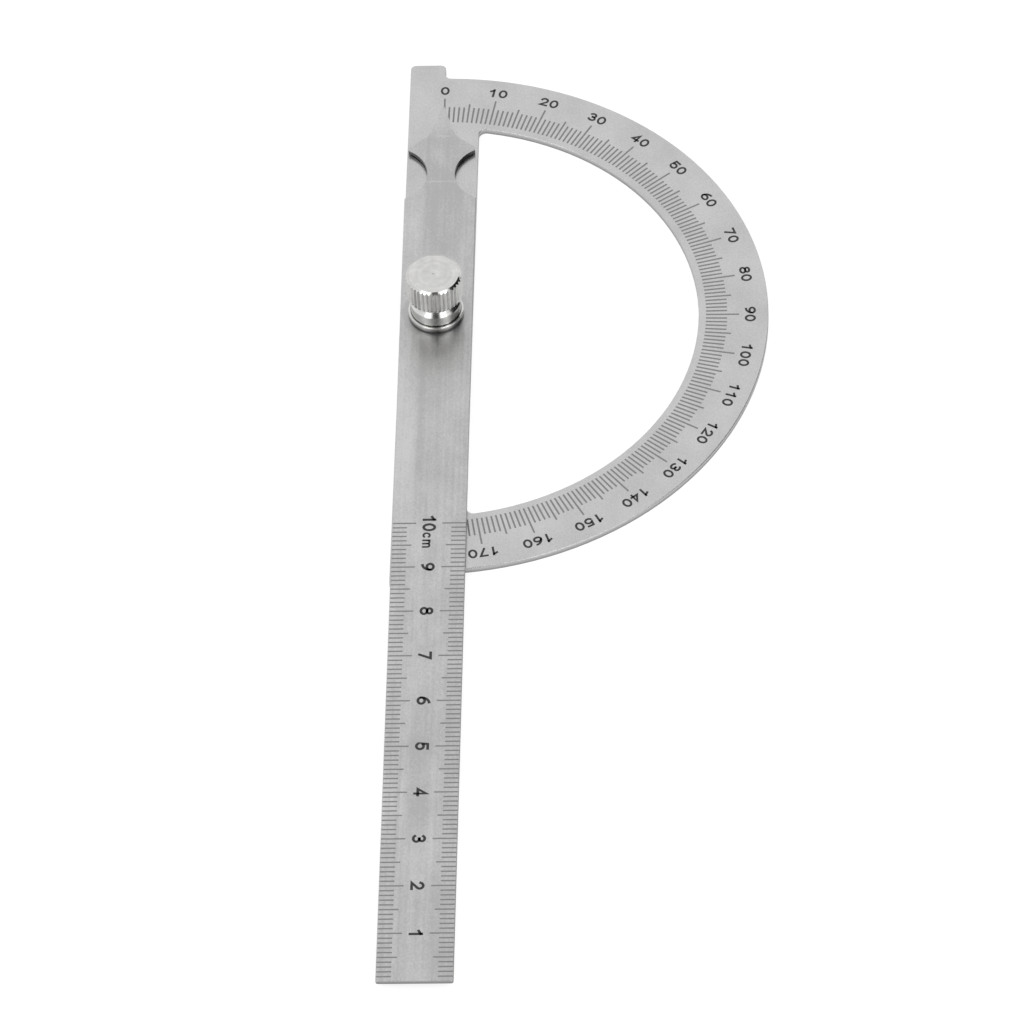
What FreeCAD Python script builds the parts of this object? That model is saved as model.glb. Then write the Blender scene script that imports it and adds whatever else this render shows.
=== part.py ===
import FreeCAD, Part
import math
import os

# A protractor with a rule arm, in millimetres and degrees. The origin is on the pivot's axis, at
# the flat back of the dial plate. +Z is up, +Y points at the dial's 0 mark, +X at its 90 mark.

# Dial plate: a half ring on a straight bar, cut from one sheet.
PLATE_THICKNESS = 1.2
DIAL_OUTER_RADIUS = 59.6
RING_WIDTH = 12.5
BAR_WIDTH = 13.0
TAB_LENGTH = 3.4
TAB_CORNER_RADIUS = 1.0
TAB_ROOT_RADIUS = 0.9
WINDOW_CORNER_RADIUS = 1.3

# Rule arm: a strip that turns over the plate, with a pointer at one end and a rule at the other.
ARM_WIDTH = 13.0
ARM_THICKNESS = 0.8
RULE_REACH = 149.7
RULE_CORNER_RADIUS = 0.4
POINTER_OVER_RING = 5.0
NEEDLE_LENGTH = 8.0
NEEDLE_ROOT_WIDTH = 4.8
NEEDLE_ROOT_RADIUS = 3.0
NEEDLE_TIP_WIDTH = 0.3
NEEDLE_TIP_THICKNESS = 0.25
NEEDLE_TIP_CLEARANCE = 0.1
HEAD_RELIEF = 0.4
HEAD_CORNER_RADIUS = 0.25
FLANK_LENGTH = 3.1
SHOULDER_LENGTH = 0.7
NOTCH_RADIUS = 6.8
NECK_WIDTH = 5.0
BEND_BEFORE_NECK = 2.0
BEVEL_PAST_ROOT = 0.5
ARM_REST_ANGLE = 0.23

# Spacer washer: it holds the arm just clear of the graduations.
SPACER_THICKNESS = 0.4
SPACER_RADIUS = 5.5

# Pivot stud: a flush head in the plate's back, a plain shoulder, then the thread.
STUD_HEAD_RADIUS = 3.9
STUD_HEAD_THICKNESS = 0.6
SHOULDER_RADIUS = 2.5
SHOULDER_SETBACK = 0.1
THREAD_DEPTH = 0.26
THREAD_END_CHAMFER = 0.4
THREAD_END_GAP = 0.22
RELIEF_DEPTH = 0.24
RELIEF_LENGTH = 0.4

# Clamp washer: it hangs on the knob's turned-over lip and presses on the arm.
WASHER_RADIUS = 5.0
WASHER_THICKNESS = 1.2
WASHER_TOP_RADIUS = 0.2
WASHER_BOTTOM_CHAMFER = 0.15

# Clamp knob: a knurled head, a neck, a smooth collar and the lip that carries the washer.
COLLAR_RADIUS = 4.5
COLLAR_HEIGHT = 2.1
COLLAR_EDGE = 0.12
CONE_HEIGHT = 1.0
NECK_RADIUS = 3.5
NECK_HEIGHT = 0.85
HEAD_RADIUS = 5.05
HEAD_UNDER_CHAMFER = 0.3
KNURL_LENGTH = 4.5
KNURL_TEETH = 40
KNURL_DEPTH = 0.3
KNURL_LAND = 0.16
TOP_BEVEL_WIDTH = 0.6
TOP_BEVEL_HEIGHT = 0.35
TOP_WALL = 1.4
DRILL_POINT_ANGLE = 118.0
PIP_RADIUS = 0.28
PIP_DEPTH = 0.12
LIP_WALL = 0.71
LIP_SETBACK = 0.12
LIP_FLARE = 0.35
MOUTH_CHAMFER = 0.25

# Fits and finish.
RUNNING_CLEARANCE = 0.05
PRESS_CLEARANCE = 0.01
EDGE_BREAK = 0.1

# Places along the dial's radius and the arm's length, worked out from the dial inwards.
DIAL_INNER_RADIUS = DIAL_OUTER_RADIUS - RING_WIDTH
POINTER_REACH = DIAL_INNER_RADIUS + POINTER_OVER_RING
NEEDLE_ROOT_REACH = POINTER_REACH - NEEDLE_LENGTH
BEVEL_REACH = NEEDLE_ROOT_REACH + BEVEL_PAST_ROOT
HEAD_REACH = NEEDLE_ROOT_REACH - FLANK_LENGTH
HEAD_WIDTH = ARM_WIDTH - 2 * HEAD_RELIEF
NOTCH_OFFSET = NECK_WIDTH / 2 + NOTCH_RADIUS
NOTCH_HALF_CHORD = math.sqrt(NOTCH_RADIUS**2 - (NOTCH_OFFSET - HEAD_WIDTH / 2) ** 2)
NOTCH_REACH = HEAD_REACH - SHOULDER_LENGTH - NOTCH_HALF_CHORD
BEND_REACH = NOTCH_REACH - BEND_BEFORE_NECK

# Radii of the thread and of what fits round it.
THREAD_RADIUS = SHOULDER_RADIUS - THREAD_DEPTH
RELIEF_RADIUS = THREAD_RADIUS - RELIEF_DEPTH
BORE_RADIUS = THREAD_RADIUS + RUNNING_CLEARANCE
LIP_RADIUS = BORE_RADIUS + LIP_WALL
DRILL_POINT = BORE_RADIUS / math.tan(math.radians(DRILL_POINT_ANGLE / 2))

# Levels of the stack, from the plate's back upwards.
PLATE_TOP = PLATE_THICKNESS
ARM_BOTTOM = PLATE_TOP + SPACER_THICKNESS
ARM_TOP = ARM_BOTTOM + ARM_THICKNESS
WASHER_TOP = ARM_TOP + WASHER_THICKNESS
SHOULDER_TOP = ARM_TOP - SHOULDER_SETBACK
COLLAR_TOP = WASHER_TOP + COLLAR_HEIGHT
CONE_TOP = COLLAR_TOP + CONE_HEIGHT
HEAD_BOTTOM = CONE_TOP + NECK_HEIGHT
KNURL_BOTTOM = HEAD_BOTTOM + HEAD_UNDER_CHAMFER
KNURL_TOP = KNURL_BOTTOM + KNURL_LENGTH
KNOB_TOP = KNURL_TOP + TOP_BEVEL_HEIGHT
BORE_TOP = KNOB_TOP - TOP_WALL
STUD_TOP = BORE_TOP - DRILL_POINT - THREAD_END_GAP

Z_AXIS = FreeCAD.Vector(0, 0, 1)
ORIGIN = FreeCAD.Vector(0, 0, 0)
FULL_TURN = 360.0
SAME_PLACE = 1e-3


def block(x_low, x_high, y_low, y_high, z_low, z_high):
    corner = FreeCAD.Vector(x_low, y_low, z_low)
    return Part.makeBox(x_high - x_low, y_high - y_low, z_high - z_low, corner)


def disc(radius, z_low, z_high, x=0.0, y=0.0):
    return Part.makeCylinder(radius, z_high - z_low, FreeCAD.Vector(x, y, z_low))


def turned(profile):
    """A solid of revolution about the pivot's axis, from (radius, height) corners."""
    points = [FreeCAD.Vector(radius, 0, height) for radius, height in profile]
    face = Part.Face(Part.makePolygon(points + points[:1]))
    return face.revolve(ORIGIN, Z_AXIS, FULL_TURN)


def upright_edges(solid, places):
    """The edges along Z that stand at the given (x, y) places."""
    found = []
    for edge in solid.Edges:
        box = edge.BoundBox
        if max(box.XLength, box.YLength) > SAME_PLACE:
            continue
        for x, y in places:
            if math.hypot(box.XMin - x, box.YMin - y) < SAME_PLACE:
                found.append(edge)
    return found


def rim_edges(solid, height):
    """The edges that lie flat at one height."""
    found = []
    for edge in solid.Edges:
        box = edge.BoundBox
        if max(abs(box.ZMin - height), abs(box.ZMax - height)) < SAME_PLACE:
            found.append(edge)
    return found


def protractor_plate():
    half = BAR_WIDTH / 2
    tab_end = DIAL_OUTER_RADIUS + TAB_LENGTH
    reach = 2 * DIAL_OUTER_RADIUS
    right_half = block(0, reach, -reach, reach, 0, PLATE_TOP)
    dial = disc(DIAL_OUTER_RADIUS, 0, PLATE_TOP).common(right_half)
    bar = block(-half, 0, -tab_end, tab_end, 0, PLATE_TOP)
    beyond_bar = block(half, reach, -reach, reach, 0, PLATE_TOP)
    window = disc(DIAL_INNER_RADIUS, 0, PLATE_TOP).common(beyond_bar)
    plate = dial.fuse(bar).removeSplitter().cut(window)

    window_corner = math.sqrt(DIAL_INNER_RADIUS**2 - half**2)
    tab_corners = []
    root_corners = []
    window_corners = []
    for side in (-1, 1):
        tab_corners += [(-half, side * tab_end), (0, side * tab_end)]
        root_corners.append((0, side * DIAL_OUTER_RADIUS))
        window_corners.append((half, side * window_corner))
    plate = plate.makeFillet(TAB_CORNER_RADIUS, upright_edges(plate, tab_corners))
    plate = plate.makeFillet(TAB_ROOT_RADIUS, upright_edges(plate, root_corners))
    plate = plate.makeFillet(WINDOW_CORNER_RADIUS, upright_edges(plate, window_corners))
    plate = plate.makeChamfer(EDGE_BREAK, rim_edges(plate, 0) + rim_edges(plate, PLATE_TOP))

    hole = disc(SHOULDER_RADIUS + PRESS_CLEARANCE, 0, PLATE_TOP)
    seat = disc(STUD_HEAD_RADIUS + PRESS_CLEARANCE, 0, STUD_HEAD_THICKNESS)
    return plate.cut(hole).cut(seat)


def pivot_stud():
    relief_top = SHOULDER_TOP + RELIEF_LENGTH
    return turned(
        [
            (0, 0),
            (STUD_HEAD_RADIUS, 0),
            (STUD_HEAD_RADIUS, STUD_HEAD_THICKNESS),
            (SHOULDER_RADIUS, STUD_HEAD_THICKNESS),
            (SHOULDER_RADIUS, SHOULDER_TOP),
            (RELIEF_RADIUS, SHOULDER_TOP),
            (RELIEF_RADIUS, relief_top),
            (THREAD_RADIUS, relief_top + THREAD_RADIUS - RELIEF_RADIUS),
            (THREAD_RADIUS, STUD_TOP - THREAD_END_CHAMFER),
            (THREAD_RADIUS - THREAD_END_CHAMFER, STUD_TOP),
            (0, STUD_TOP),
        ]
    )


def spacer_washer():
    ring = disc(SPACER_RADIUS, PLATE_TOP, ARM_BOTTOM)
    return ring.cut(disc(SHOULDER_RADIUS + RUNNING_CLEARANCE, PLATE_TOP, ARM_BOTTOM))


def arm_blank():
    """The arm seen from above: a strip with a notch in each side, then the head and its needle."""
    half = ARM_WIDTH / 2
    head = HEAD_WIDTH / 2
    root = NEEDLE_ROOT_WIDTH / 2
    tip = NEEDLE_TIP_WIDTH / 2
    right = [
        (half, -RULE_REACH),
        (half, NOTCH_REACH),
        (head, NOTCH_REACH),
        (head, HEAD_REACH),
        (root, NEEDLE_ROOT_REACH),
        (tip, POINTER_REACH),
    ]
    left = [(-x, y) for x, y in reversed(right)]
    points = [FreeCAD.Vector(x, y, 0) for x, y in right + left]
    blank = Part.Face(Part.makePolygon(points + points[:1])).extrude(FreeCAD.Vector(0, 0, ARM_TOP))
    for side in (-1, 1):
        blank = blank.cut(disc(NOTCH_RADIUS, 0, ARM_TOP, side * NOTCH_OFFSET, NOTCH_REACH))
    ends = [(-half, -RULE_REACH), (half, -RULE_REACH)]
    blank = blank.makeFillet(RULE_CORNER_RADIUS, upright_edges(blank, ends))
    shoulders = [(-head, HEAD_REACH), (head, HEAD_REACH)]
    blank = blank.makeFillet(HEAD_CORNER_RADIUS, upright_edges(blank, shoulders))
    roots = [(-root, NEEDLE_ROOT_REACH), (root, NEEDLE_ROOT_REACH)]
    return blank.makeFillet(NEEDLE_ROOT_RADIUS, upright_edges(blank, roots))


def arm_side_profile():
    """The arm seen from the side: flat, then bent down to the dial, then bevelled thin."""
    half = ARM_WIDTH / 2
    tip_bottom = PLATE_TOP + NEEDLE_TIP_CLEARANCE
    corners = [
        (-RULE_REACH, ARM_BOTTOM),
        (BEND_REACH, ARM_BOTTOM),
        (BEVEL_REACH, tip_bottom),
        (POINTER_REACH, tip_bottom),
        (POINTER_REACH, tip_bottom + NEEDLE_TIP_THICKNESS),
        (BEVEL_REACH, tip_bottom + ARM_THICKNESS),
        (BEND_REACH, ARM_TOP),
        (-RULE_REACH, ARM_TOP),
    ]
    points = [FreeCAD.Vector(-half, y, z) for y, z in corners]
    face = Part.Face(Part.makePolygon(points + points[:1]))
    return face.extrude(FreeCAD.Vector(ARM_WIDTH, 0, 0))


def rule_rims(arm):
    """The long top and bottom edges of the rule and its zero end, where burrs are taken off."""
    found = []
    for edge in rim_edges(arm, ARM_BOTTOM) + rim_edges(arm, ARM_TOP):
        if edge.BoundBox.YMin < -RULE_REACH + 2 * RULE_CORNER_RADIUS:
            found.append(edge)
    return found


def rule_arm():
    arm = arm_blank().common(arm_side_profile())
    arm = arm.makeChamfer(EDGE_BREAK, rule_rims(arm))
    arm = arm.cut(disc(SHOULDER_RADIUS + RUNNING_CLEARANCE, ARM_BOTTOM, ARM_TOP))
    arm.rotate(ORIGIN, Z_AXIS, ARM_REST_ANGLE)
    return arm


def clamp_washer():
    bore = LIP_RADIUS + RUNNING_CLEARANCE
    seat_height = ARM_TOP + LIP_SETBACK + LIP_FLARE
    washer = turned(
        [
            (bore + LIP_FLARE + LIP_SETBACK, ARM_TOP),
            (WASHER_RADIUS - WASHER_BOTTOM_CHAMFER, ARM_TOP),
            (WASHER_RADIUS, ARM_TOP + WASHER_BOTTOM_CHAMFER),
            (WASHER_RADIUS, WASHER_TOP),
            (bore, WASHER_TOP),
            (bore, seat_height),
        ]
    )
    rims = rim_edges(washer, WASHER_TOP)
    outer_rim = max(rims, key=lambda edge: edge.BoundBox.XMax)
    return washer.makeFillet(WASHER_TOP_RADIUS, [outer_rim])


def knurled_bar():
    """A bar with straight teeth all round, which the head's turned outline is then cut from."""
    root = HEAD_RADIUS - KNURL_DEPTH
    step = 2 * math.pi / KNURL_TEETH
    land = KNURL_LAND / HEAD_RADIUS / 2
    points = []
    for tooth in range(KNURL_TEETH):
        angle = tooth * step
        for radius, turn in ((HEAD_RADIUS, -land), (HEAD_RADIUS, land), (root, step / 2)):
            x = radius * math.cos(angle + turn)
            y = radius * math.sin(angle + turn)
            points.append(FreeCAD.Vector(x, y, HEAD_BOTTOM))
    face = Part.Face(Part.makePolygon(points + points[:1]))
    return face.extrude(FreeCAD.Vector(0, 0, KNOB_TOP - HEAD_BOTTOM))


def clamp_knob():
    head = turned(
        [
            (0, HEAD_BOTTOM),
            (HEAD_RADIUS - HEAD_UNDER_CHAMFER, HEAD_BOTTOM),
            (HEAD_RADIUS, KNURL_BOTTOM),
            (HEAD_RADIUS, KNURL_TOP),
            (HEAD_RADIUS - TOP_BEVEL_WIDTH, KNOB_TOP),
            (PIP_RADIUS, KNOB_TOP),
            (0, KNOB_TOP - PIP_DEPTH),
        ]
    ).common(knurled_bar())
    lip_bottom = ARM_TOP + LIP_SETBACK
    body = turned(
        [
            (0, lip_bottom),
            (LIP_RADIUS + LIP_FLARE, lip_bottom),
            (LIP_RADIUS, lip_bottom + LIP_FLARE),
            (LIP_RADIUS, WASHER_TOP),
            (COLLAR_RADIUS - COLLAR_EDGE, WASHER_TOP),
            (COLLAR_RADIUS, WASHER_TOP + COLLAR_EDGE),
            (COLLAR_RADIUS, COLLAR_TOP),
            (NECK_RADIUS, CONE_TOP),
            (NECK_RADIUS, HEAD_BOTTOM),
            (0, HEAD_BOTTOM),
        ]
    )
    bore = turned(
        [
            (0, lip_bottom),
            (BORE_RADIUS + MOUTH_CHAMFER, lip_bottom),
            (BORE_RADIUS, lip_bottom + MOUTH_CHAMFER),
            (BORE_RADIUS, BORE_TOP - DRILL_POINT),
            (0, BORE_TOP),
        ]
    )
    return body.fuse(head).removeSplitter().cut(bore)


def export(name, shape):
    solids = shape.Solids
    print(name, "solids", len(solids), "valid", shape.isValid(), "volume", round(shape.Volume, 3))
    result = solids[0] if len(solids) == 1 else shape
    result.exportStep(os.path.join("parts", name + ".step"))


os.makedirs("parts", exist_ok=True)
for build in (protractor_plate, pivot_stud, spacer_washer, rule_arm, clamp_washer, clamp_knob):
    export(build.__name__, build())
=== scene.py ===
import math

import bmesh
import bpy
from mathutils import Matrix, Vector


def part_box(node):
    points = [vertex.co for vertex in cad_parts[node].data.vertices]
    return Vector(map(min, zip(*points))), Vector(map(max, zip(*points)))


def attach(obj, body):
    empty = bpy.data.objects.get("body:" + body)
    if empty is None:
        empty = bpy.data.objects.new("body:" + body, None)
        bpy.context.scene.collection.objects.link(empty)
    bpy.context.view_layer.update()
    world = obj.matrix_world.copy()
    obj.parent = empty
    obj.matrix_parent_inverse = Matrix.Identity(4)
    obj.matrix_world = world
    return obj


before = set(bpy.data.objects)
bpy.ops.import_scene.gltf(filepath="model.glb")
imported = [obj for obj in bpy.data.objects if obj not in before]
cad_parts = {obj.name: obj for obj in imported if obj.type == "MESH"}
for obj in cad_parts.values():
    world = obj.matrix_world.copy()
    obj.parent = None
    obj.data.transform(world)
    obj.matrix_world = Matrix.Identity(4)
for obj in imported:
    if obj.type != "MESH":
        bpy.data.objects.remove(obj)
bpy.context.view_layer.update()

# Metres and radians in the row frame: the origin is on the pivot at the plate's back, +Y points at
# the dial's 0 mark, +X at its 90 mark. Angles on the dial run clockwise from +Y.
MM = 0.001
PLATE_BOTTOM = 0.0
PLATE_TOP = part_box("protractor_plate")[1].z
ARM_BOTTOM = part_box("rule_arm")[0].z
ARM_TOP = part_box("rule_arm")[1].z
ARM_REST_ANGLE = math.radians(0.23)

# Marks: ink laid a hair proud of the steel. Curved strokes are cut into short straight steps.
INK_HEIGHT = 0.012 * MM
INK_SINK = 0.004 * MM
CURVE_STEP = math.radians(12)
MITRE_LIMIT = 0.4
CLOSED_WITHIN = 0.01

# Dial graduations and figures. Marks are 1, 5 or 10 degrees apart, and longer for the wider steps.
DEGREES = 180
DEGREES_PER_FIGURE = 10
DIAL_TICK_INNER = 48.4 * MM
DIAL_TICK_OUTER = {1: 52.2 * MM, 5: 53.1 * MM, 10: 54.36 * MM}
DIAL_TICK_WIDTH = 0.32 * MM
DIAL_FIGURE_RADIUS = 56.35 * MM
DIAL_FIGURE_SIZE = (1.24 * MM, 1.6 * MM)
DIAL_FIGURE_PITCH = 1.9 * MM
DIAL_FIGURE_STROKE = 0.4 * MM

# Rule graduations and figures, along the arm from its far end, where the rule's zero is. The unit
# stands after the last figure, each letter at its distance in millimetres from the rule's zero.
RULE_REACH = 149.7 * MM
RULE_CENTIMETRES = 10
RULE_HALF_WIDTH = 6.4 * MM
RULE_TICK_LENGTH = {1: 2.5 * MM, 5: 3.4 * MM, 10: 4.1 * MM}
RULE_TICK_WIDTH = 0.27 * MM
RULE_FIGURE_SIZE = (1.34 * MM, 1.94 * MM)
RULE_FIGURE_PITCH = 1.9 * MM
RULE_FIGURE_STROKE = 0.48 * MM
UNIT_SIZE = (1.0 * MM, 1.1 * MM)
UNIT_PLACES = {"c": 97.2, "m": 95.3}
UNIT_STROKE = 0.36 * MM
M_WIDENING = 1.5

# Ink: the fine marks hold less of it than the figures do, and look greyer.
FIGURE_INK_SHADE = 0.022
TICK_INK_SHADE = 0.15
INK_WEAR_SCALE = 1800
WORN_INK_LIGHTER = 1.6
INK_ROUGHNESS = (0.5, 0.7)

# Sheet steel: the noise of its clouds, its grain and its streaks, which run along the strip. The
# tone that they add up to goes from the dark shade to the light one between the ends of TONE_SPREAD.
CLOUD_SCALE = 180
GRAIN_SCALE = 3200
STREAK_SCALE = 1500
ROLLED = (1, 0.7, 1)
DRAWN_OUT = (1, 0.02, 1)
GRAIN_DETAIL = 2.0
STREAK_DETAIL = 4.0
TONE_SPREAD = (0.36, 0.64)
GRAIN_BUMP = 0.1
GRAIN_DEPTH = 0.02 * MM

# Sheet edges: a cut wall is darker towards its foot, and has one shade on the near side of the pivot and
# one on the far side. On the arm the far walls, round the pointer's notches, are painted darker, as
# shade from the gap under the pointer's head. A broken edge, known by how far its normal points up,
# is a little rougher than the faces.
WALL_FOOT_DARK_HEIGHT = 1.1 * MM
WALL_FOOT_GREY = 0.05
WALL_FOOT_SHARE = 0.5
WALL_BLEND = 10 * MM
BROKEN_EDGE = (0.4, 0.95)
BROKEN_EDGE_ROUGHER = 0.15

PLATE_SHADES = (0.59, 0.7)
PLATE_WALLS = (0.68, 0.68)
PLATE_STREAKS = 0.1
PLATE_ROUGHNESS = (0.22, 0.3)

ARM_SHADES = (0.52, 0.71)
ARM_WALLS_AND_NOTCH_SHADE = (0.42, 0.19)
ARM_STREAKS = 0.3
ARM_ROUGHNESS = (0.28, 0.36)

# The arm's wear and painted light, in millimetres: left and right across the strip, start and stop
# along it, how soft the patch is across and along, and how much darker it is. The sixth is painted
# shade over the pointer's bent head, and the last two are painted highlights, the bright lines at the
# bend and at the bevel.
WEAR_AND_PAINTED_LIGHT_PATCHES = (
    (-2.9, 3.4, -40, 44, 0.9, 3, 0.09),
    (3.4, 7.0, -150, 60, 1.5, 1, 0.06),
    (-1.7, 1.7, -122, -86, 1.2, 8, 0.1),
    (-7.0, 7.0, -150, -129, 1, 6, 0.07),
    (-7.0, -3.2, -42, -14, 0.9, 7, -0.1),
    (-5.0, 5.0, 26, 60, 2, 3, 0.035),
    (-2.6, 2.6, 32.1, 32.5, 0.3, 0.15, -0.12),
    (-1.4, 1.4, 43.8, 44.2, 0.3, 0.15, -0.08),
)

# Painted shade on the arm, in a ring round the washer's seat, where the washer meets it.
WASHER_RADIUS = 5.0 * MM
SEAT_SHADE_RING = 1.6 * MM
SEAT_SHADE_DARKER = 0.3

# Nickel of the knob and the washer. The bands are heights above the plate's back: the collar, the
# cone and the knurled head are rougher than the top, and the collar carries painted shade, its colour
# darker for the shaded arm that it mirrors.
NICKEL_COLOURS = ((0.66, 0.655, 0.64), (0.86, 0.855, 0.84))
NICKEL_ROUGHNESS = (0.1, 0.16)
NICKEL_CLOUD_SCALE = 700
NICKEL_CLOUD_WEIGHT = 0.6
TURNING_MARK_SCALE = 1800
TURNING_MARK_WEIGHT = 0.35
PIP_RADIUS = 0.28 * MM
PIP_DARKER = 0.6
KNURL_BAND = (8.1 * MM, 12.35 * MM)
KNURL_ROOT = 4.6 * MM
KNURL_ROUGHER = 0.28
COLLAR_BAND = (3.65 * MM, 5.65 * MM)
COLLAR_PAINTED_SHADE = 0.25
COLLAR_ROUGHER = 0.1
CONE_BAND = (5.65 * MM, 6.72 * MM)
CONE_ROUGHER = 0.06

# Painted shade round the washer's foot, where it stands on the arm, and in the seam where the collar meets
# the washer.
PAINTED_SHADE_GREY = 0.12
FOOT_SHADE_HEIGHT = 1.2 * MM
SEAM_BAND = (3.58 * MM, 3.8 * MM)
SEAM_RADIUS = 4.64 * MM
SEAM_SHADE_SHARE = 0.65

# Plain turned steel of the stud and the spacer.
TURNED_COLOURS = ((0.5, 0.5, 0.49), (0.62, 0.62, 0.6))
TURNED_ROUGHNESS = (0.22, 0.36)
TURNED_SCALE = 4000
TURNED_STRETCH = (0.05, 0.05, 1)

# Camera, as the photograph's view of the marks gives it.
CAMERA_TARGET = Vector((14.56, -46.27, 1.2)) * MM
CAMERA_DISTANCE = 1258.4 * MM
CAMERA_ELEVATION = math.radians(49.336)
CAMERA_AZIMUTH = math.radians(3.822)
CAMERA_ROLL = math.radians(-3.405)
CAMERA_CLIP_START = 10 * MM
SENSOR_WIDTH = 36.0
CAMERA_LENS = 252.2

# Studio: a pale floor, even light from all round, and two softboxes with a slit between them.
FLOOR_SIZE = 6.0
FLOOR_DROP = 0.02 * MM
FLOOR_SHADE = 0.35
FLOOR_GLOW = 0.75
FLOOR_MIRRORED = 0.52
ROOM_LIGHT = 0.84
SOFTBOX_SIZE = (0.31, 0.62)
SOFTBOX_SLIT = 0.27
SOFTBOX_SHIFT = 0.015
SOFTBOX_SPLAY = math.radians(13)
SOFTBOX_DISTANCE = 0.62
SOFTBOX_ELEVATION = math.radians(54)
SOFTBOX_POWER = 0.88

# Dark cards that the bright metal mirrors: name, shade, width, height, and then azimuth in degrees,
# elevation in degrees and distance, all from the pivot.
DARK_CARDS = (
    ("card_behind_slit", 0.08, 0.5, 0.8, 0, 54, 0.75),
    ("card_across", 0.08, 0.6, 0.11, 0, 54, 0.5),
    ("card_at_right", 0.01, 0.55, 0.64, 101, 32, 0.6),
)


def grey(shade):
    """A colour without any hue."""
    return (shade, shade, shade)


def principled(name):
    """A new material, its node tree and its shader."""
    material = bpy.data.materials.new(name)
    material.use_nodes = True
    tree = material.node_tree
    return material, tree, tree.nodes["Principled BSDF"]


def node_place(tree):
    """The place on the metal that a texture is fixed to."""
    return tree.nodes.new("ShaderNodeTexCoord").outputs["Object"]


def noise_of_place(tree, scale, stretch=(1, 1, 1), detail=3.0):
    """Noise that is fixed to the metal, finer where stretch is larger."""
    mapping = tree.nodes.new("ShaderNodeMapping")
    mapping.inputs["Scale"].default_value = stretch
    noise = tree.nodes.new("ShaderNodeTexNoise")
    noise.inputs["Scale"].default_value = scale
    noise.inputs["Detail"].default_value = detail
    tree.links.new(node_place(tree), mapping.inputs["Vector"])
    tree.links.new(mapping.outputs["Vector"], noise.inputs["Vector"])
    return noise.outputs["Fac"]


def noise_of_radius(tree, radius, scale):
    """Noise in rings round the pivot's axis."""
    noise = tree.nodes.new("ShaderNodeTexNoise")
    noise.noise_dimensions = "1D"
    noise.inputs["Scale"].default_value = scale
    tree.links.new(radius, noise.inputs["W"])
    return noise.outputs["Fac"]


def remap(tree, value, low, high, start=0.3, stop=0.7, smooth=False):
    """A value spread over low to high, as it goes from start to stop."""
    node = tree.nodes.new("ShaderNodeMapRange")
    if smooth:
        node.interpolation_type = "SMOOTHSTEP"
    node.inputs["From Min"].default_value = start
    node.inputs["From Max"].default_value = stop
    node.inputs["To Min"].default_value = low
    node.inputs["To Max"].default_value = high
    tree.links.new(value, node.inputs["Value"])
    return node.outputs["Result"]


def calculate(tree, operation, *values):
    """One maths node, fed with sockets or plain numbers."""
    node = tree.nodes.new("ShaderNodeMath")
    node.operation = operation
    for socket, value in zip(node.inputs, values):
        if isinstance(value, (int, float)):
            socket.default_value = value
        else:
            tree.links.new(value, socket)
    return node.outputs[0]


def weighted_sum(tree, parts):
    """Several textures added up, each times its weight."""
    total = 0.0
    for value, weight in parts:
        total = calculate(tree, "MULTIPLY_ADD", value, weight, total)
    return total


def mixed(tree, share, first, second):
    """A colour between two others, which are sockets or plain colours."""
    node = tree.nodes.new("ShaderNodeMix")
    node.data_type = "RGBA"
    for socket, colour in zip((node.inputs[6], node.inputs[7]), (first, second)):
        if isinstance(colour, tuple):
            socket.default_value = (*colour, 1.0)
        else:
            tree.links.new(colour, socket)
    tree.links.new(share, node.inputs[0])
    return node.outputs[2]


def bump(tree, height, strength, distance):
    """A normal that makes a texture stand up from the face."""
    node = tree.nodes.new("ShaderNodeBump")
    node.inputs["Strength"].default_value = strength
    node.inputs["Distance"].default_value = distance
    tree.links.new(height, node.inputs["Height"])
    return node.outputs["Normal"]


def axis_of(tree, vector, axis):
    """One coordinate of a vector."""
    split = tree.nodes.new("ShaderNodeSeparateXYZ")
    tree.links.new(vector, split.inputs[0])
    return split.outputs[axis]


def facing_up(tree):
    """1 on flat faces, 0 on upright walls, and between them on broken edges."""
    normal = tree.nodes.new("ShaderNodeTexCoord").outputs["Normal"]
    return calculate(tree, "ABSOLUTE", axis_of(tree, normal, "Z"))


def distance_from_pivot(tree):
    """How far a place is from the pivot's axis."""
    place = node_place(tree)
    squares = [calculate(tree, "POWER", axis_of(tree, place, axis), 2.0) for axis in "XY"]
    return calculate(tree, "SQRT", calculate(tree, "ADD", *squares))


def within(tree, value, band):
    """1 where a value is between the two ends of a band, 0 elsewhere."""
    above = calculate(tree, "GREATER_THAN", value, band[0])
    below = calculate(tree, "LESS_THAN", value, band[1])
    return calculate(tree, "MULTIPLY", above, below)


def worn_patch(tree, left, right, start, stop, soft_across, soft_along):
    """1 in a soft-edged patch of the strip, 0 outside it."""
    place = node_place(tree)
    patch = 1.0
    for axis, ends, soft in (("X", (left, right), soft_across), ("Y", (start, stop), soft_along)):
        low, high, soft = ends[0] * MM, ends[1] * MM, soft * MM
        value = axis_of(tree, place, axis)
        rising = remap(tree, value, 0.0, 1.0, low - soft, low + soft, True)
        falling = remap(tree, value, 1.0, 0.0, high - soft, high + soft, True)
        patch = calculate(tree, "MULTIPLY", patch, calculate(tree, "MULTIPLY", rising, falling))
    return patch


def cut_wall(tree, shades, bottom):
    """The colour of a sheet's cut walls, where bottom is the height of their foot."""
    place = node_place(tree)
    # The walls grow darker towards their foot.
    darker_foot = remap(tree, axis_of(tree, place, "Z"), 1.0, 0.0, bottom, bottom + WALL_FOOT_DARK_HEIGHT, True)
    far = remap(tree, axis_of(tree, place, "Y"), 0.0, 1.0, -WALL_BLEND, WALL_BLEND, True)
    near_wall, far_wall = shades
    # On the arm the far wall's grey is painted shade from the gap under the pointer's head.
    wall = mixed(tree, far, grey(near_wall), grey(far_wall))
    return mixed(tree, calculate(tree, "MULTIPLY", darker_foot, WALL_FOOT_SHARE), wall, grey(WALL_FOOT_GREY))


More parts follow.
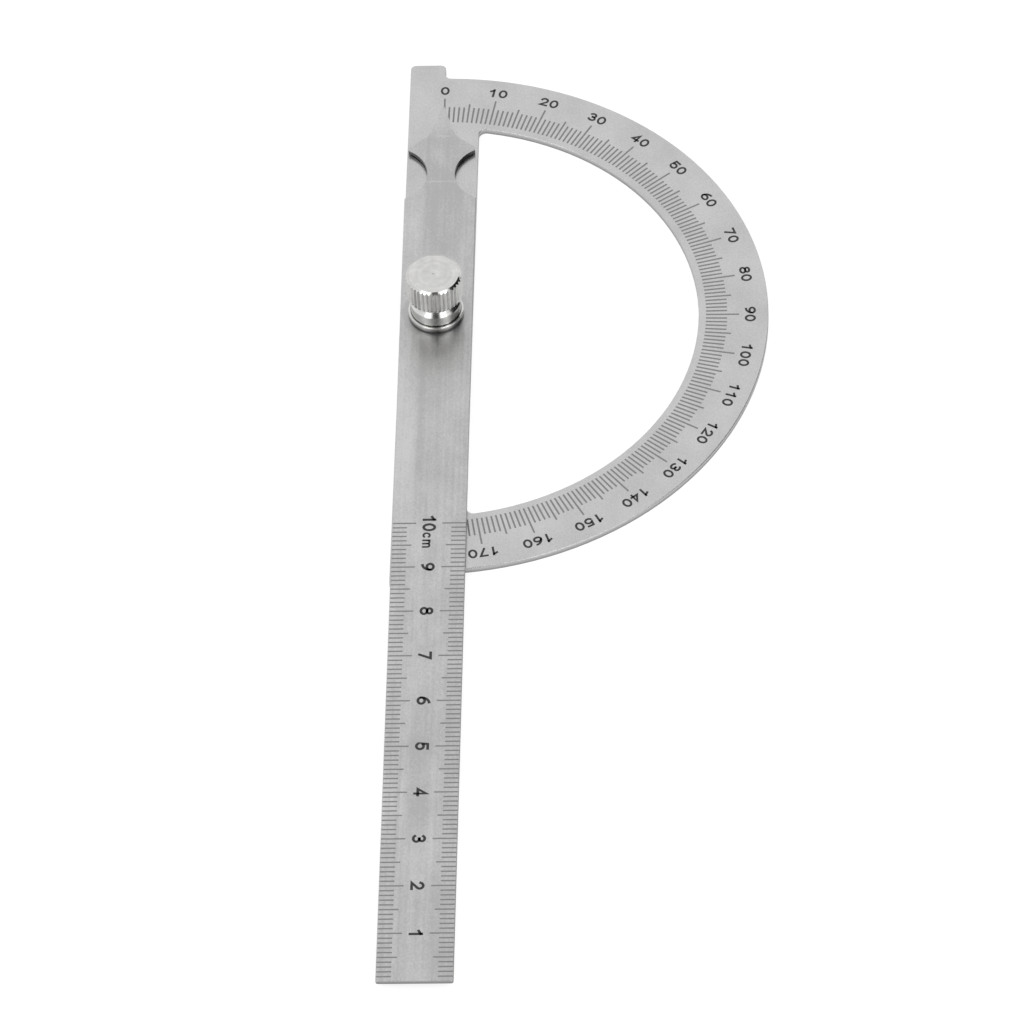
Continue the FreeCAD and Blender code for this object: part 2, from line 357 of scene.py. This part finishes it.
def satin_steel(name, shades, walls, streaks, roughness, bottom, patches=(), seat_shade_darker=0.0):
    """Rolled stainless sheet: clouds, fine grain, streaks along the strip, patches of wear, painted shade
    and painted highlight, a painted shade ring, cut walls.
    """
    material, tree, shader = principled(name)
    shader.inputs["Metallic"].default_value = 1.0
    clouds = noise_of_place(tree, CLOUD_SCALE, ROLLED)
    grain = noise_of_place(tree, GRAIN_SCALE, ROLLED, GRAIN_DETAIL)
    lines = noise_of_place(tree, STREAK_SCALE, DRAWN_OUT, STREAK_DETAIL)
    others = (1 - streaks) / 2
    tone = weighted_sum(tree, ((clouds, others), (grain, others), (lines, streaks)))
    # Patches of wear, painted shade and painted highlight darken or lighten the tone.
    for *patch, darker in patches:
        tone = calculate(tree, "MULTIPLY_ADD", worn_patch(tree, *patch), -darker, tone)
    # A ring of painted shade round the washer's seat.
    ring = remap(tree, distance_from_pivot(tree), 1.0, 0.0, WASHER_RADIUS, WASHER_RADIUS + SEAT_SHADE_RING, True)
    tone = calculate(tree, "MULTIPLY_ADD", ring, -seat_shade_darker, tone)
    dark, light = shades
    face = mixed(tree, remap(tree, tone, 0.0, 1.0, *TONE_SPREAD), grey(dark), grey(light))
    level = facing_up(tree)
    upright = calculate(tree, "LESS_THAN", level, BROKEN_EDGE[0])
    colour = mixed(tree, upright, face, cut_wall(tree, walls, bottom))
    rougher = calculate(tree, "MULTIPLY", within(tree, level, BROKEN_EDGE), BROKEN_EDGE_ROUGHER)
    rough = calculate(tree, "ADD", rougher, remap(tree, lines, *roughness))
    tree.links.new(colour, shader.inputs["Base Color"])
    tree.links.new(rough, shader.inputs["Roughness"])
    tree.links.new(bump(tree, grain, GRAIN_BUMP, GRAIN_DEPTH), shader.inputs["Normal"])
    return material


def bright_nickel(name):
    """Nickel plate on turned metal: bright, slightly warm, with turning marks and a dark centre pip."""
    material, tree, shader = principled(name)
    shader.inputs["Metallic"].default_value = 1.0
    radius = distance_from_pivot(tree)
    height = axis_of(tree, node_place(tree), "Z")
    clouds = noise_of_place(tree, NICKEL_CLOUD_SCALE)
    rings = noise_of_radius(tree, radius, TURNING_MARK_SCALE)
    pip = remap(tree, radius, 1.0, 0.0, 0.5 * PIP_RADIUS, PIP_RADIUS, True)
    collar = within(tree, height, COLLAR_BAND)
    cone = within(tree, height, CONE_BAND)
    head = calculate(tree, "GREATER_THAN", radius, KNURL_ROOT)
    knurl = calculate(tree, "MULTIPLY", within(tree, height, KNURL_BAND), head)
    tone = weighted_sum(tree, (
        (clouds, NICKEL_CLOUD_WEIGHT),
        (rings, TURNING_MARK_WEIGHT),
        (pip, -PIP_DARKER),
        # The collar's darker tone is painted shade.
        (collar, -COLLAR_PAINTED_SHADE),
    ))
    face = mixed(tree, remap(tree, tone, 0.0, 1.0), *NICKEL_COLOURS)
    # Painted shade at the washer's foot and in the seam under the collar.
    foot = remap(tree, height, 1.0, 0.0, ARM_TOP, ARM_TOP + FOOT_SHADE_HEIGHT, True)
    inside = calculate(tree, "LESS_THAN", radius, SEAM_RADIUS)
    seam_shade = calculate(tree, "MULTIPLY", within(tree, height, SEAM_BAND), inside)
    painted_shade = calculate(tree, "MAXIMUM", foot, calculate(tree, "MULTIPLY", seam_shade, SEAM_SHADE_SHARE))
    rougher = weighted_sum(tree, ((knurl, KNURL_ROUGHER), (collar, COLLAR_ROUGHER), (cone, CONE_ROUGHER)))
    rough = calculate(tree, "ADD", rougher, remap(tree, clouds, *NICKEL_ROUGHNESS))
    tree.links.new(mixed(tree, painted_shade, face, grey(PAINTED_SHADE_GREY)), shader.inputs["Base Color"])
    tree.links.new(rough, shader.inputs["Roughness"])
    return material


def turned_steel(name):
    """Plain turned steel with rings cut round the axis."""
    material, tree, shader = principled(name)
    shader.inputs["Metallic"].default_value = 1.0
    rings = noise_of_place(tree, TURNED_SCALE, TURNED_STRETCH)
    tree.links.new(mixed(tree, rings, *TURNED_COLOURS), shader.inputs["Base Color"])
    tree.links.new(remap(tree, rings, *TURNED_ROUGHNESS), shader.inputs["Roughness"])
    return material


def etching_ink(name, shade):
    """Matte black etching ink, a little worn."""
    material, tree, shader = principled(name)
    wear = noise_of_place(tree, INK_WEAR_SCALE)
    colour = mixed(tree, wear, grey(shade), grey(WORN_INK_LIGHTER * shade))
    tree.links.new(colour, shader.inputs["Base Color"])
    tree.links.new(remap(tree, wear, *INK_ROUGHNESS), shader.inputs["Roughness"])
    return material


def arc(x, y, x_radius, y_radius, start, end):
    """Points along part of an ellipse, from one angle in degrees to another."""
    start, end = math.radians(start), math.radians(end)
    steps = max(2, math.ceil(abs(end - start) / CURVE_STEP))
    angles = [start + (end - start) * step / steps for step in range(steps + 1)]
    return [(x + x_radius * math.cos(a), y + y_radius * math.sin(a)) for a in angles]


def half_turned(strokes):
    """The same strokes upside down, as a 9 is to a 6."""
    return [[(-x, 1 - y) for x, y in stroke] for stroke in strokes]


# Each figure as the centrelines of its strokes, half a unit to each side and one unit high.
SIX = [arc(0, 0.3, 0.5, 0.3, 0, 360), arc(0.42, 0.3, 0.92, 0.7, 180, 98)]
FIGURES = {
    "0": [arc(0, 0.5, 0.5, 0.5, 0, 360)],
    "1": [[(0.12, 0), (0.12, 1)], [(0.12, 0.92), (-0.34, 0.74)]],
    "2": [arc(0, 0.7, 0.46, 0.3, 165, -38) + [(-0.46, 0), (0.5, 0)]],
    "3": [arc(-0.02, 0.755, 0.42, 0.245, 150, -90), arc(0, 0.27, 0.48, 0.27, 90, -150)],
    "4": [[(0.22, 0), (0.22, 1), (-0.5, 0.26), (0.5, 0.26)]],
    "5": [[(0.42, 1), (-0.34, 1), (-0.42, 0.5)] + arc(0, 0.32, 0.48, 0.32, 138, -150)],
    "6": SIX,
    "7": [[(-0.48, 1), (0.46, 1), (-0.16, 0)]],
    "8": [arc(0, 0.275, 0.5, 0.275, 0, 360), arc(0, 0.775, 0.42, 0.225, 0, 360)],
    "9": half_turned(SIX),
    "c": [arc(0, 0.5, 0.5, 0.5, 48, 312)],
    "m": [[(-0.5, 0), (-0.5, 1)], arc(-0.25, 0.7, 0.25, 0.3, 180, 0) + [(0, 0)],
          arc(0.25, 0.7, 0.25, 0.3, 180, 0) + [(0.5, 0)]],
}


def offset_sides(points, half_width, closed):
    """The two sides of a stroke, with mitred corners."""
    count = len(points)
    left, right = [], []
    for index, point in enumerate(points):
        before = points[index - 1] if index or closed else None
        after = points[(index + 1) % count] if index < count - 1 or closed else None
        normals = []
        for start, end in ((before, point), (point, after)):
            if start is not None and end is not None:
                normals.append((end - start).orthogonal().normalized())
        middle = sum(normals, Vector((0, 0))).normalized()
        reach = half_width / max(MITRE_LIMIT, middle.dot(normals[0]))
        left.append(point + middle * reach)
        right.append(point - middle * reach)
    return left, right


def add_stroke(mesh, points, width, level, overrun=0.0):
    """A flat solid stroke of ink along a line of points, whose open ends may run on a little."""
    points = [Vector(point) for point in points]
    closed = len(points) > 2 and (points[0] - points[-1]).length < width * CLOSED_WITHIN
    if closed:
        points = points[:-1]
    else:
        for end, inner in ((0, 1), (-1, -2)):
            points[end] = points[end] + (points[end] - points[inner]).normalized() * overrun
    left, right = offset_sides(points, width / 2, closed)
    low, high = level - INK_SINK, level + INK_HEIGHT
    rings = []
    for a, b in zip(left, right):
        corners = ((a, low), (b, low), (b, high), (a, high))
        rings.append([mesh.verts.new((place.x, place.y, z)) for place, z in corners])
    for first, second in zip(rings, rings[1:] + rings[:1] if closed else rings[1:]):
        for side in range(4):
            after = (side + 1) % 4
            mesh.faces.new((first[side], first[after], second[after], second[side]))
    if not closed:
        mesh.faces.new(rings[0][::-1])
        mesh.faces.new(rings[-1])


def ink_piece(name, mesh, body, ink):
    """Turns the strokes into one piece of ink that rides on a body."""
    bmesh.ops.recalc_face_normals(mesh, faces=mesh.faces)
    data = bpy.data.meshes.new(name)
    mesh.to_mesh(data)
    mesh.free()
    piece = bpy.data.objects.new(name, data)
    bpy.context.scene.collection.objects.link(piece)
    data.materials.append(ink)
    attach(piece, body)


def kind_of(number):
    """10 for a long mark, 5 for a middle one and 1 for the rest."""
    return next(step for step in (10, 5, 1) if number % step == 0)


def add_text(mesh, text, size, pitch, stroke, middle, along, up, level):
    """A line of figures round a middle point, which reads in the direction along."""
    for index, figure in enumerate(text):
        place = middle + along * ((index - (len(text) - 1) / 2) * pitch)
        for line in FIGURES[figure]:
            points = [place + along * (x * size[0]) + up * ((y - 0.5) * size[1]) for x, y in line]
            add_stroke(mesh, points, stroke, level, stroke / 2)


def dial_direction(degrees):
    """The way from the pivot to a mark on the dial."""
    angle = math.radians(degrees)
    return Vector((math.sin(angle), math.cos(angle)))


def dial_graduations(ink):
    """One mark for each degree of the dial."""
    mesh = bmesh.new()
    for degree in range(DEGREES + 1):
        way = dial_direction(degree)
        ends = (way * DIAL_TICK_INNER, way * DIAL_TICK_OUTER[kind_of(degree)])
        add_stroke(mesh, ends, DIAL_TICK_WIDTH, PLATE_TOP)
    ink_piece("dial_graduations", mesh, "dial", ink)


def dial_figures(ink):
    """The dial's figures, whose tops point away from the pivot."""
    mesh = bmesh.new()
    for degree in range(0, DEGREES + 1, DEGREES_PER_FIGURE):
        out = dial_direction(degree)
        along = Vector((out.y, -out.x))
        add_text(mesh, str(degree), DIAL_FIGURE_SIZE, DIAL_FIGURE_PITCH, DIAL_FIGURE_STROKE,
                 out * DIAL_FIGURE_RADIUS, along, out, PLATE_TOP)
    ink_piece("dial_figures", mesh, "dial", ink)


def on_rule(across, mm_from_zero):
    """A point on the arm, from the middle of its width and its distance from the rule's zero."""
    place = Vector((across, mm_from_zero * MM - RULE_REACH))
    return Matrix.Rotation(ARM_REST_ANGLE, 2) @ place


def rule_graduations(ink):
    """One mark for each millimetre, on both edges of the rule."""
    mesh = bmesh.new()
    for mark in range(1, 10 * RULE_CENTIMETRES + 1):
        for side in (-1, 1):
            edge = side * RULE_HALF_WIDTH
            inner = side * (RULE_HALF_WIDTH - RULE_TICK_LENGTH[kind_of(mark)])
            add_stroke(mesh, (on_rule(edge, mark), on_rule(inner, mark)), RULE_TICK_WIDTH, ARM_TOP)
    ink_piece("rule_graduations", mesh, "arm", ink)


def rule_figures(ink):
    """The centimetres along the middle of the rule, and the unit on the foot line of the last one."""
    mesh = bmesh.new()
    up = Matrix.Rotation(ARM_REST_ANGLE, 2) @ Vector((1, 0))
    along = Vector((up.y, -up.x))
    for centimetre in range(1, RULE_CENTIMETRES + 1):
        add_text(mesh, str(centimetre), RULE_FIGURE_SIZE, RULE_FIGURE_PITCH, RULE_FIGURE_STROKE,
                 on_rule(0, 10 * centimetre), along, up, ARM_TOP)
    drop = (RULE_FIGURE_SIZE[1] - UNIT_SIZE[1]) / 2
    for letter, mm_from_zero in UNIT_PLACES.items():
        width = UNIT_SIZE[0] * (M_WIDENING if letter == "m" else 1)
        place = on_rule(0, mm_from_zero) - up * drop
        add_text(mesh, letter, (width, UNIT_SIZE[1]), 0, UNIT_STROKE, place, along, up, ARM_TOP)
    ink_piece("rule_figures", mesh, "arm", ink)


def direction(azimuth, elevation):
    """The way from the pivot to a place in the studio, whose azimuth is 0 at -Y and grows to +X."""
    flat = math.cos(elevation)
    return Vector((math.sin(azimuth) * flat, -math.cos(azimuth) * flat, math.sin(elevation)))


def photo_camera():
    """The camera where the photograph was taken from."""
    back = direction(CAMERA_AZIMUTH, CAMERA_ELEVATION)
    level = Vector((0, 0, 1)).cross(back).normalized()
    upright = back.cross(level)
    right = level * math.cos(CAMERA_ROLL) + upright * math.sin(CAMERA_ROLL)
    up = back.cross(right)
    turn = Matrix((right, up, back)).transposed().to_4x4()
    data = bpy.data.cameras.new("photo_camera")
    data.sensor_width = SENSOR_WIDTH
    data.lens = CAMERA_LENS
    data.clip_start = CAMERA_CLIP_START
    camera = bpy.data.objects.new("photo_camera", data)
    camera.matrix_world = Matrix.Translation(CAMERA_TARGET + back * CAMERA_DISTANCE) @ turn
    bpy.context.scene.collection.objects.link(camera)
    bpy.context.scene.camera = camera


def plain_sheet(name, width, height, place, facing):
    """A flat stage sheet that faces a direction."""
    mesh = bmesh.new()
    for x, y in ((-1, -1), (1, -1), (1, 1), (-1, 1)):
        mesh.verts.new((x * width / 2, y * height / 2, 0))
    mesh.faces.new(mesh.verts)
    data = bpy.data.meshes.new(name)
    mesh.to_mesh(data)
    mesh.free()
    sheet = bpy.data.objects.new(name, data)
    turn = Vector(facing).to_track_quat("Z", "Y").to_matrix().to_4x4()
    sheet.matrix_world = Matrix.Translation(place) @ turn
    bpy.context.scene.collection.objects.link(sheet)
    return sheet


def matte(name, shade):
    """A dull material of one grey, its node tree and its shader."""
    material, tree, shader = principled(name)
    shader.inputs["Base Color"].default_value = (*grey(shade), 1)
    shader.inputs["Roughness"].default_value = 1.0
    return material, tree, shader


def seen_or_mirrored(tree):
    """1 for rays from the camera, FLOOR_MIRRORED for those from metal or glass, and 0 for the rest."""
    path = tree.nodes.new("ShaderNodeLightPath")
    total = path.outputs["Is Camera Ray"]
    for name in ("Is Glossy Ray", "Is Transmission Ray"):
        share = calculate(tree, "MULTIPLY", path.outputs[name], FLOOR_MIRRORED)
        total = calculate(tree, "MAXIMUM", total, share)
    return total


def pale_floor():
    """A pale floor that shows white, and still takes the object's shadow."""
    floor = plain_sheet("floor", FLOOR_SIZE, FLOOR_SIZE, (0, 0, -FLOOR_DROP), (0, 0, 1))
    material, tree, shader = matte("pale_floor", FLOOR_SHADE)
    shader.inputs["Specular IOR Level"].default_value = 0.0
    shader.inputs["Emission Color"].default_value = (1, 1, 1, 1)
    glow = calculate(tree, "MULTIPLY", seen_or_mirrored(tree), FLOOR_GLOW)
    tree.links.new(glow, shader.inputs["Emission Strength"])
    floor.data.materials.append(material)


def room():
    """Even light from all round, which the camera sees as white."""
    world = bpy.data.worlds.new("room")
    bpy.context.scene.world = world
    world.use_nodes = True
    tree = world.node_tree
    background = tree.nodes["Background"]
    background.inputs["Color"].default_value = (1, 1, 1, 1)
    path = tree.nodes.new("ShaderNodeLightPath")
    mix = tree.nodes.new("ShaderNodeMix")
    mix.inputs[2].default_value = ROOM_LIGHT
    mix.inputs[3].default_value = 1.0
    tree.links.new(path.outputs["Is Camera Ray"], mix.inputs[0])
    tree.links.new(mix.outputs[0], background.inputs["Strength"])


def softboxes():
    """Two softboxes splayed in one tilted plane, with a slit between them that the camera looks through."""
    toward = Vector((0, math.cos(SOFTBOX_ELEVATION), -math.sin(SOFTBOX_ELEVATION)))
    for side, name in ((-1, "softbox_left"), (1, "softbox_right")):
        data = bpy.data.lights.new(name, "AREA")
        data.shape = "RECTANGLE"
        data.size, data.size_y = SOFTBOX_SIZE
        data.energy = SOFTBOX_POWER
        lamp = bpy.data.objects.new(name, data)
        shift = side * (SOFTBOX_SLIT + SOFTBOX_SIZE[0]) / 2 + SOFTBOX_SHIFT
        place = Vector((shift, 0, 0)) - toward * SOFTBOX_DISTANCE
        turn = toward.to_track_quat("-Z", "Y").to_matrix().to_4x4()
        splay = Matrix.Rotation(side * SOFTBOX_SPLAY, 4, "Z")
        lamp.matrix_world = Matrix.Translation(place) @ turn @ splay
        lamp.visible_camera = False
        bpy.context.scene.collection.objects.link(lamp)


def dark_cards():
    """Dark cards that only mirrored rays see: two past the slit and one at the right."""
    for name, shade, width, height, azimuth, elevation, distance in DARK_CARDS:
        way = direction(math.radians(azimuth), math.radians(elevation))
        card = plain_sheet(name, width, height, way * distance, -way)
        card.visible_camera = False
        card.visible_diffuse = False
        card.visible_shadow = False
        card.data.materials.append(matte(name, shade)[0])


def dress_solids():
    """Gives each solid of the part its finish."""
    plate_steel = satin_steel("plate_steel", PLATE_SHADES, PLATE_WALLS, PLATE_STREAKS, PLATE_ROUGHNESS,
                              PLATE_BOTTOM)
    arm_steel = satin_steel("arm_steel", ARM_SHADES, ARM_WALLS_AND_NOTCH_SHADE, ARM_STREAKS, ARM_ROUGHNESS, ARM_BOTTOM,
                            WEAR_AND_PAINTED_LIGHT_PATCHES, SEAT_SHADE_DARKER)
    nickel = bright_nickel("knob_nickel")
    stud_steel = turned_steel("stud_steel")
    finishes = {
        "protractor_plate": plate_steel,
        "rule_arm": arm_steel,
        "clamp_knob": nickel,
        "clamp_washer": nickel,
        "pivot_stud": stud_steel,
        "spacer_washer": stud_steel,
    }
    for node, finish in finishes.items():
        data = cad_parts[node].data
        data.materials.clear()
        data.materials.append(finish)


photo_camera()
pale_floor()
room()
softboxes()
dark_cards()
dress_solids()

tick_ink = etching_ink("tick_ink", TICK_INK_SHADE)
figure_ink = etching_ink("figure_ink", FIGURE_INK_SHADE)
dial_graduations(tick_ink)
dial_figures(figure_ink)
rule_graduations(tick_ink)
rule_figures(figure_ink)

bpy.context.scene.view_settings.view_transform = "Standard"
